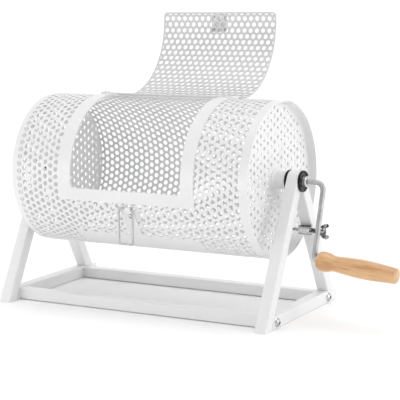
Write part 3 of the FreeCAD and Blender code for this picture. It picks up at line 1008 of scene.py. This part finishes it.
@dataclass
class Door:
    """Perforated door leaf with its back edge curled round the hinge pin.

    Attributes:
        hinge: A point on the hinge line.
        axis: Height of the drum axis.
        inner: Radius of the inner face from the drum axis when closed.
        sheet: Thickness.
        half: Half length along the drum.
        hinge_angle: Angle of the hinge line on the closed drum.
        edge_angle: Angle of the free edge.
        corner: Radius of the free corners.
        curl: Outer and inner radius of the curl.
        hem: Width of the hem that cuts the outer holes short.
        bead: Radius of the hem's rolled edge.
        plain_back: Angle up to which the back of the door is plain.
        first_row: Angle of row 0.
        first_hole: X of hole 0 in row 0.
        swing: How far the door stands open.
    """

    hinge: Vector
    axis: float
    inner: float = 0.1273
    sheet: float = 0.0012
    half: float = 0.1105
    hinge_angle: float = -13.5
    edge_angle: float = 97.5
    corner: float = 0.007
    curl: tuple[float, float] = (0.0022, 0.00105)
    hem: float = 0.0022
    bead: float = 0.0011
    plain_back: float = -9.0
    first_row: float = 0.9
    first_hole: float = 0.003
    swing: float = -183.0

    def opened(self, points: np.ndarray) -> np.ndarray:
        """Turn points of the closed door about the hinge line to where it stands open.

        Args:
            points: Places on the closed door.

        Returns:
            Places on the open door.
        """
        turn = math.radians(self.swing)
        away = points - np.array(self.hinge)
        y = away[:, 1] * math.cos(turn) - away[:, 2] * math.sin(turn)
        z = away[:, 1] * math.sin(turn) + away[:, 2] * math.cos(turn)
        return np.array(self.hinge) + np.stack([away[:, 0], y, z], axis=1)

    def build(self, workshop: Workshop) -> bpy.types.Object:
        """Build the leaf and its curl in place of the plain packed door.

        The flat sheet's first coordinate is radius times angle and its second is X, so
        the lines of holes run along the drum.

        Args:
            workshop: The finishes.

        Returns:
            The finished piece.
        """
        outer = self.inner + self.sheet
        arc = outer * math.pi / 180.0
        out, bore = self.curl
        low = np.array([self.hinge_angle * arc + (out + bore) / 2, -self.half])
        high = np.array([self.edge_angle * arc, self.half])
        radii = (0.0, self.corner, self.corner, 0.0)
        edge = sampled_line(rounded_box(low, high, radii), 0.004)
        lattice = HoleLattice(self.first_row * arc, self.first_hole)
        centres = self.punched(lattice, low, high, arc)
        frame_low, frame_high = low + self.hem, high - self.hem
        sheet = PunchedSheet(edge, [], lattice, centres, (frame_low, frame_high))
        flat, faces = sheet.cut()

        def rolled(places: np.ndarray, height: np.ndarray | float) -> np.ndarray:
            """Roll flat points at a height over the outer face, then open the door."""
            angle, r = places[..., 0] / outer, outer + height
            y, z = -r * np.sin(angle), self.axis + r * np.cos(angle)
            return self.opened(np.stack([places[..., 1], y, z], axis=-1).reshape(-1, 3))

        leaf = thickened(rolled(flat, 0.0), rolled(flat, -self.sheet), faces)
        path, height = self.hem_tube(low, high)
        rows, columns = height.shape
        hem = gridded(rolled(path, height).reshape(rows, columns, 3), False).welded()
        profile = [(-self.half, bore), (-self.half, out), (self.half, out), (self.half, bore)]
        curl = revolved(
            sampled_line(np.array(profile)[::-1], 0.012), np.array(self.hinge)[1:], 24
        )
        piece = leaf.joined(curl).joined(hem).made("door_leaf_perforated")
        # The leaf wears the darker copy of the white coat, which is painted shade.
        workshop.dress(piece, "white_steel", "door_painted_shade")
        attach(piece, "door")
        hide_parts("door_panel")
        return piece

    def punched(
        self, lattice: HoleLattice, low: np.ndarray, high: np.ndarray, arc: float
    ) -> np.ndarray:
        """Centres of the holes, those that the hem cuts short among them.

        Args:
            lattice: The hole pattern.
            low: Lowest corner of the flat sheet.
            high: Highest corner.
            arc: Length along the leaf of one degree.

        Returns:
            The centres.
        """
        spare = self.hem - lattice.radius + 0.0016
        centres = lattice.centres(low + spare, high - spare)
        centres = centres[centres[:, 0] > self.plain_back * arc]
        rounding = self.corner * 0.3
        side = np.abs(centres[:, 1]) - (self.half - self.corner + rounding)
        top = centres[:, 0] - (high[0] - self.corner + rounding)
        return centres[~((side > 0) & (top > 0))]

    def hem_tube(self, low: np.ndarray, high: np.ndarray) -> tuple[np.ndarray, np.ndarray]:
        """Rolled hem round the free edges, as a tube in the flat sheet's coordinates.

        A point is the inset outline plus bead times (cosine out along the sheet, sine
        over its middle) round the tube. The two end rings shrink to their centres.

        Args:
            low: Lowest corner of the flat sheet.
            high: Highest corner.

        Returns:
            Flat places and heights over the outer face, rows along the hem.
        """
        start = np.array([low[0] + 0.004, low[1] + self.bead])
        stop = np.array([high[0] - self.bead, high[1] - self.bead])
        outline = rounded_box(start, stop, (0.0, self.corner, self.corner, 0.0))
        line = sampled_line(outline, 0.004)
        along = np.roll(line, -1, axis=0) - line
        first = int(np.argmax((np.abs(line[:, 0] - start[0]) < SAME_PLACE) & (along[:, 0] > 0)))
        line = np.roll(line, -first, axis=0)
        last = int(np.argmax((line[1:, 0] - start[0]) < SAME_PLACE)) + 2
        line = line[:last]
        way = np.gradient(line, axis=0)
        way /= np.linalg.norm(way, axis=1)[:, None]
        out = np.stack([way[:, 1], -way[:, 0]], axis=1)
        turn = 2 * math.pi * np.arange(10) / 10
        size = np.full(len(line), self.bead)
        line = np.vstack([line[:1], line, line[-1:]])
        out = np.vstack([out[:1], out, out[-1:]])
        size = np.concatenate([[1e-6], size, [1e-6]])[:, None]
        places = line[:, None, :] + (size * np.cos(turn))[..., None] * out[:, None, :]
        return places, size * np.sin(turn) - self.sheet / 2


@dataclass
class EndDisc:
    """Pressed and perforated end disc with its flange turned outwards.

    The lattice is placed so that the lock pin meets a hole at rest and at the far end of
    the drum's turn.

    Attributes:
        end: Which end of the drum.
        sheet: Thickness.
        fold: Outer radius of the fold between plate and flange.
        bore: Radius of the centre hole.
        field: Least and greatest distance of a hole's centre from the axis.
        first_line: Y of line 0 of the holes.
        first_hole: Height of hole 0 above the axis.
        pitch: From hole to hole.
        hole: Radius of a hole.
        steps: Points round the rim.
    """

    end: End
    sheet: float = 0.0012
    fold: float = 0.0025
    bore: float = 0.009
    field: tuple[float, float] = (0.0225, 0.1165)
    first_line: float = 0.0322
    first_hole: float = -0.0836
    pitch: float = 0.01368
    hole: float = 0.0034
    steps: int = 180

    def build(self, workshop: Workshop) -> bpy.types.Object:
        """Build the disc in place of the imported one.

        The plate's flat coordinates are Y and height above the axis. The flange turns a
        profile about the axis: a quarter circle, a straight run, and the same back.

        Args:
            workshop: The finishes.

        Returns:
            The finished piece.
        """
        node = f"{self.end.name.lower()}_end_disc"
        low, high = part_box(node)
        side = self.end.value
        axis = (low.z + high.z) / 2
        rim = (high.y - low.y) / 2
        back, lip = (low.x, high.x) if side > 0 else (high.x, low.x)
        face = back + side * self.sheet
        turn = 2 * math.pi * np.arange(self.steps) / self.steps
        circle = np.stack([-np.sin(turn), np.cos(turn)], axis=1)
        edge = (rim - self.fold) * circle[::-1]
        hub = self.bore * circle[::5]
        lattice = HoleLattice(self.first_line, self.first_hole, self.pitch, self.hole)
        reach = np.array([rim, rim])
        centres = lattice.centres(-reach, reach)
        away = np.linalg.norm(centres, axis=1)
        centres = centres[(away > self.field[0]) & (away < self.field[1])]
        flat, faces = PunchedSheet(edge, [hub], lattice, centres).cut()
        at_rim = np.linalg.norm(flat, axis=1) > rim - self.fold - SAME_PLACE * 10

        def upright(x: float) -> np.ndarray:
            """Stand the flat points up at one X."""
            return np.stack([np.full(len(flat), x), flat[:, 0], axis + flat[:, 1]], axis=1)

        order = faces if side > 0 else faces[:, ::-1]
        plate = thickened(upright(face), upright(back), order, at_rim)
        turned = self.section(back, lip, rim, side)
        flange = revolved(turned, np.array([0.0, axis]), self.steps, False)
        piece = plate.joined(flange).welded().made(f"{node}_perforated")
        workshop.dress(piece, "white_steel")
        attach(piece, "drum")
        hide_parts(node)
        return piece

    def section(self, back: float, lip: float, rim: float, side: int) -> np.ndarray:
        """Profile of the flange, from the plate's back face round to its front face.

        Args:
            back: X of the plate's inner face.
            lip: X of the flange's free edge.
            rim: Radius of the flange's outer face.
            side: Sign of the end's X.

        Returns:
            Rows of x and radius, in order that faces the skin outwards.
        """
        bend = np.linspace(0.0, math.pi / 2, 6)
        centre_x, centre_r = back + side * self.fold, rim - self.fold
        outer = np.stack(
            [centre_x - side * self.fold * np.cos(bend), centre_r + self.fold * np.sin(bend)], axis=1
        )
        tight = self.fold - self.sheet
        inner = np.stack(
            [centre_x - side * tight * np.cos(bend), centre_r + tight * np.sin(bend)], axis=1
        )
        ends = np.array([[lip, rim], [lip, rim - self.sheet]])
        profile = np.vstack([outer, ends, inner[::-1]])
        return profile[::-1] if side > 0 else profile


@dataclass
class Bearing:
    """Outer bush with a dished face, and the turned end of the axle stub in it.

    Attributes:
        end: Which end of the drum.
        shaft: Radius of the stub.
        bore: Radius of the bush's bore.
        sleeve: Radius of the bush's sleeve.
        flange: Thickness of the bush's flange.
        dish: Depth of the ring-shaped dish in the flange.
        lip: Radii of the dish's outer wall at its floor and at its mouth.
        groove: Width and depth of the circlip groove outside the flange.
        groove_gap: From the stub's end to the groove.
        chamfer: Chamfer of the stub's ends.
        socket: Radii of the hollow in the stub's end, at its mouth and at its floor.
        hollow: Depth of that hollow.
        rod_hole: Radius of the hole for the crank rod.
        rod_from: X where that hole begins.
        steps: Points round a turn.
    """

    end: End
    shaft: float = 0.0087
    bore: float = 0.00875
    sleeve: float = 0.0109
    flange: float = 0.004
    dish: float = 0.0017
    lip: tuple[float, float] = (0.0136, 0.0148)
    groove: tuple[float, float] = (0.0015, 0.0014)
    groove_gap: float = 0.0043
    chamfer: float = 0.001
    socket: tuple[float, float] = (0.0068, 0.0052)
    hollow: float = 0.0016
    rod_hole: float = 0.0041
    rod_from: float = 0.232
    steps: int = 72

    def build(self, workshop: Workshop) -> None:
        """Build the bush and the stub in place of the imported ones.

        Args:
            workshop: The finishes.
        """
        side = self.end.name.lower()
        bush, stub = f"{side}_outer_bush", f"{side}_axle_stub"
        ring = self.bush_profile(*self.reach(bush))
        shaft = self.stub_profile(*self.reach(stub)[:2])
        self.turned(bush, ring, "black_nylon", "stand", workshop)
        self.turned(stub, shaft, "zinc_steel", "drum", workshop)

    def reach(self, node: str) -> tuple[float, float, float]:
        """Distances of a node's inner and outer face from the middle, and its radius.

        Args:
            node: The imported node.

        Returns:
            Inner face, outer face and radius.
        """
        low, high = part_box(node)
        ends = sorted((abs(low.x), abs(high.x)))
        return ends[0], ends[1], (high.y - low.y) / 2

    def bush_profile(self, inner: float, outer: float, rim: float) -> np.ndarray:
        """Profile of the bush: sleeve, flat-floored dish, rounded rim and back.

        Args:
            inner: Distance of the sleeve's end from the middle.
            outer: Distance of the rim from the middle.
            rim: Radius of the flange.

        Returns:
            Rows of x and radius, the solid on the left.
        """
        floor = outer - self.dish
        bend = np.linspace(0.0, math.pi / 2, 5)
        edge = (rim - self.lip[1]) / 2
        round_in = np.stack(
            [outer - edge + edge * np.sin(bend), self.lip[1] + edge - edge * np.cos(bend)], axis=1
        )
        round_out = np.stack(
            [outer - edge + edge * np.cos(bend), rim - edge + edge * np.sin(bend)], axis=1
        )
        front = [(inner, self.bore), (floor, self.bore), (floor, self.lip[0])]
        heel = outer - self.flange
        back = [(heel, rim), (heel, self.sleeve), (inner, self.sleeve)]
        return np.vstack([front, round_in, round_out[1:], back])

    def stub_profile(self, inner: float, outer: float) -> np.ndarray:
        """Profile of the stub: rod hole on the crank's side, hollow, chamfer and groove.

        Args:
            inner: Distance of the stub's inner end from the middle.
            outer: Distance of its outer end from the middle.

        Returns:
            Rows of x and radius, the solid on the left.
        """
        edge, floor, thin = self.chamfer, outer - self.hollow, self.shaft - self.groove[1]
        groove_to = outer - self.groove_gap
        groove_from = groove_to - self.groove[0]
        start = [(inner, ON_AXIS)]
        if self.end is End.RIGHT:
            start += [(self.rod_from, ON_AXIS), (self.rod_from, self.rod_hole)]
            start += [(floor, self.rod_hole)]
        else:
            start += [(floor, ON_AXIS)]
        mouth = [(floor, self.socket[1]), (outer, self.socket[0]), (outer, self.shaft - edge)]
        shaft = [(outer - edge, self.shaft), (groove_to, self.shaft), (groove_to, thin)]
        shaft += [(groove_from, thin), (groove_from, self.shaft)]
        tail = [(inner + edge, self.shaft), (inner, self.shaft - edge)]
        return np.array(start + mouth + shaft + tail)

    def turned(
        self, node: str, profile: np.ndarray, slot: str, body: str, workshop: Workshop
    ) -> None:
        """Turn a profile about the drum's axis, on this end's side.

        Args:
            node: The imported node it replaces.
            profile: Rows of distance from the middle and radius, the solid on the left.
            slot: The record's material slot.
            body: The body it rides.
            workshop: The finishes.
        """
        low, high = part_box(node)
        centre = np.array([(low.y + high.y) / 2, (low.z + high.z) / 2])
        if self.end is End.LEFT:
            profile = (profile * np.array([-1.0, 1.0]))[::-1]
        piece = revolved(profile, centre, self.steps).welded().made(f"{node}_turned")
        workshop.dress(piece, slot, "stub_end" if slot == "zinc_steel" else None)
        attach(piece, body)
        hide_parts(node)


@dataclass
class LockPin:
    """Pin of the drum lock: a slim nose and a threaded body.

    Attributes:
        nose: Radius of the nose.
        shoulder: X where the body begins.
        body: Radius over the thread's crests.
        depth: Depth of the thread.
        lead: Length of one turn of the thread.
        spigot: Radius of the end that the wing sits on.
        neck: X where the body ends.
        point: Taper and depth of the nose's chamfer.
        ease: Chamfer of the body's ends.
        run_out: Plain length at each end of the thread.
        turn_parts: Rows of points to a turn of the thread.
        steps: Points round a turn.
    """

    nose: float = 0.00225
    shoulder: float = 0.230
    body: float = 0.004
    depth: float = 0.00055
    lead: float = 0.00125
    spigot: float = 0.0025
    neck: float = 0.2645
    point: tuple[float, float] = (0.0015, 0.001)
    ease: float = 0.0004
    run_out: float = 0.0006
    turn_parts: int = 8
    steps: int = 32

    def build(self, workshop: Workshop) -> bpy.types.Object:
        """Build the pin in place of the plain packed one.

        The radius is that of the plain pin, less the thread's depth times a triangle wave
        of x over the lead minus the turn over a full turn, so the groove is a helix.

        Args:
            workshop: The finishes.

        Returns:
            The finished piece.
        """
        low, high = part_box("lock_pin")
        centre = np.array([(low.y + high.y) / 2, (low.z + high.z) / 2])
        start, end = self.shoulder + self.run_out, self.neck - self.run_out
        along = np.arange(start, end, self.lead / self.turn_parts)
        taper, cut = self.point
        nose = [(low.x, ON_AXIS), (low.x, self.nose - cut), (low.x + taper, self.nose)]
        nose += [(self.shoulder - cut, self.nose), (self.shoulder, self.body - self.ease)]
        tail = [(self.neck, self.body - self.ease), (self.neck, self.spigot)]
        tail += [(high.x, self.spigot), (high.x, ON_AXIS)]
        crest = np.stack([along, np.full(len(along), self.body)], axis=1)
        profile = np.vstack([nose, crest, tail])
        turn = 2 * math.pi * np.arange(self.steps) / self.steps
        phase = profile[:, :1] / self.lead - turn[None, :] / (2 * math.pi)
        wave = np.abs(2 * (phase % 1.0) - 1)
        first, last = len(nose), len(nose) + len(along)
        threaded = np.zeros((len(profile), 1))
        fade = np.clip(np.arange(len(along)) / self.turn_parts, 0, 1)
        threaded[first:last, 0] = fade * fade[::-1]
        radius = profile[:, 1:] - self.depth * wave * threaded
        x = np.repeat(profile[:, :1], self.steps, axis=1)
        y, z = centre[0] - radius * np.sin(turn), centre[1] + radius * np.cos(turn)
        grid = np.stack([x, y, z], axis=-1)[::-1]
        piece = gridded(grid, False).welded().made("lock_pin_threaded")
        # The pin wears the lock's chrome, whose dark mottles are painted reflections.
        workshop.dress(piece, "chrome", "lock_painted_reflection")
        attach(piece, "lock_plunger")
        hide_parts("lock_pin")
        return piece


# ------------------------------------------------------------------- stage


@dataclass
class Studio:
    """Floor, soft light and camera.

    Attributes:
        azimuth: Camera's turn round the object, degrees.
        elevation: Camera's height above the horizon, degrees.
        roll: Camera's roll, degrees.
        distance: From camera to target.
        target: Point the camera looks at.
        lens: Focal length for a 36 mm sensor, in mm.
        shift: Vertical shift of the frame.
        walls: Strength of the light from the walls at the floor, and from the ceiling.
        front: Share of it that the front wall gives.
    """

    azimuth: float = 29.379
    elevation: float = 8.806
    roll: float = -0.854
    distance: float = 2.23482
    target: tuple[float, float, float] = (0.065864, 0.0, 0.182514)
    lens: float = 123.85
    shift: float = -0.0134
    walls: tuple[float, float] = (1.52, 0.49)
    front: float = 0.38

    def build(self) -> None:
        """Make the floor, the lights and the camera."""
        self.floor()
        self.world()
        self.sky(1.15, 55.0)
        self.lamp("side", (2.4, 0.3, 1.2), 1.6, 11.0)
        self.lamp("fill", (-0.7, -1.5, 0.16), 0.9, 7.0)
        self.camera()

    def floor(self) -> None:
        """Make a wide pale floor with a faint mottle."""
        size = 200.0
        corners = np.array([[-size, -size, 0], [size, -size, 0], [size, size, 0], [-size, size, 0]])
        floor = Skin(corners, quads=np.array([[0, 1, 2, 3]])).made("studio_floor")
        recipe = Recipe("floor_white")
        mottle = recipe.span(recipe.noise(3.0, 2.0), (0.3, 0.7), (0.0, 1.0))
        recipe.feed(Base_Color=recipe.blend(mottle, (0.97, 0.97, 0.97), (0.955, 0.955, 0.955)))
        recipe.fixed(Roughness=0.9)
        floor.data.materials.append(recipe.material)

    def world(self) -> None:
        """Light the scene from all round, more from the walls than from the ceiling.

        The strength falls in a straight line with the sine of the height, and again
        towards the front wall, by the part of the direction that points there.
        """
        world = bpy.data.worlds.new("studio_white")
        world.use_nodes = True
        nodes, links = world.node_tree.nodes, world.node_tree.links
        light = nodes["Background"]
        light.inputs["Color"].default_value = (1.0, 1.0, 1.0, 1.0)
        way, height = nodes.new("ShaderNodeTexCoord"), nodes.new("ShaderNodeSeparateXYZ")
        fall, front = nodes.new("ShaderNodeMapRange"), nodes.new("ShaderNodeMapRange")
        for name, value in zip(("To Min", "To Max"), self.walls):
            fall.inputs[name].default_value = value
        for name, value in zip(("From Min", "From Max", "To Min"), (-1.0, 0.0, self.front)):
            front.inputs[name].default_value = value
        both = nodes.new("ShaderNodeMath")
        both.operation = "MULTIPLY"
        links.new(way.outputs["Generated"], height.inputs["Vector"])
        links.new(height.outputs["Z"], fall.inputs["Value"])
        links.new(height.outputs["Y"], front.inputs["Value"])
        links.new(fall.outputs["Result"], both.inputs[0])
        links.new(front.outputs["Result"], both.inputs[1])
        links.new(both.outputs["Value"], light.inputs["Strength"])
        bpy.context.scene.world = world

    def sky(self, strength: float, spread: float) -> None:
        """Add a wide soft light from straight above.

        Args:
            strength: Strength of the light on level surfaces.
            spread: Angle that the light comes from, in degrees.
        """
        light = bpy.data.lights.new("overhead", "SUN")
        light.energy = strength
        light.angle = math.radians(spread)
        bpy.context.scene.collection.objects.link(bpy.data.objects.new("overhead", light))

    def lamp(
        self, name: str, place: tuple[float, float, float], size: float, power: float
    ) -> None:
        """Add a square soft light that faces the drum.

        Args:
            name: Name of the light.
            place: Its place.
            size: Its side.
            power: Its power in watts.
        """
        light = bpy.data.lights.new(name, "AREA")
        light.shape = "SQUARE"
        light.size = size
        light.energy = power
        holder = bpy.data.objects.new(name, light)
        holder.location = place
        way = Vector((0.0, 0.0, 0.2)) - Vector(place)
        holder.rotation_euler = way.to_track_quat("-Z", "Y").to_euler()
        bpy.context.scene.collection.objects.link(holder)

    def camera(self) -> None:
        """Set up the camera.

        It looks along (-sin a cos e, cos a cos e, -sin e) for azimuth a and elevation e,
        turned by the roll about that line.
        """
        a, e, roll = (math.radians(v) for v in (self.azimuth, self.elevation, self.roll))
        ahead = Vector((-math.sin(a) * math.cos(e), math.cos(a) * math.cos(e), -math.sin(e)))
        level = Vector((math.cos(a), math.sin(a), 0.0))
        upward = level.cross(ahead)
        right = level * math.cos(roll) + upward * math.sin(roll)
        up = upward * math.cos(roll) - level * math.sin(roll)
        lens = bpy.data.cameras.new("studio_camera")
        lens.sensor_width = 36.0
        lens.lens = self.lens
        lens.shift_y = self.shift
        camera = bpy.data.objects.new("studio_camera", lens)
        camera.location = Vector(self.target) - ahead * self.distance
        basis = np.stack([right, up, -ahead], axis=1)
        camera.rotation_euler = Matrix(basis.tolist()).to_euler()
        bpy.context.scene.collection.objects.link(camera)
        bpy.context.scene.camera = camera


def joint_named(name: str) -> dict:
    """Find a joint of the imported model.

    Args:
        name: Name of the joint.

    Returns:
        Its record.
    """
    return next(joint for joint in frame["joints"] if joint["name"] == name)


def main() -> None:
    """Build every piece in order, then the studio."""
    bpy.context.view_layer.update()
    grip, door = joint_named("grip_spin"), joint_named("door_hinge")
    axis = joint_named("drum_spin")["pos_m"][2]
    workshop = Workshop(Vector(grip["axis"]), Vector(grip["pos_m"]))
    workshop.prepare()
    slots = {part["node"]: part["material_slot"] for part in frame["record"]["subparts"]}
    # The boss, wing and hasp bolt wear chrome with painted reflections: dark mottles, and for the boss dark bands
    # above and below a light one as well.
    special = {"lock_boss": "boss_painted_reflection", "lock_wing": "lock_painted_reflection"}
    special["hasp_bolt"] = "lock_painted_reflection"
    workshop.dress_nodes(frame["nodes"], slots, special)
    DrumWall().build(workshop)
    for end in End:
        EndDisc(end).build(workshop)
        Bearing(end).build(workshop)
    Door(Vector(door["pos_m"]), axis).build(workshop)
    LockPin().build(workshop)
    Studio().build()
    bpy.context.scene.view_settings.view_transform = "Standard"


if __name__ == "__main__":
    logging.basicConfig(level=logging.INFO, format="%(message)s")
    main()
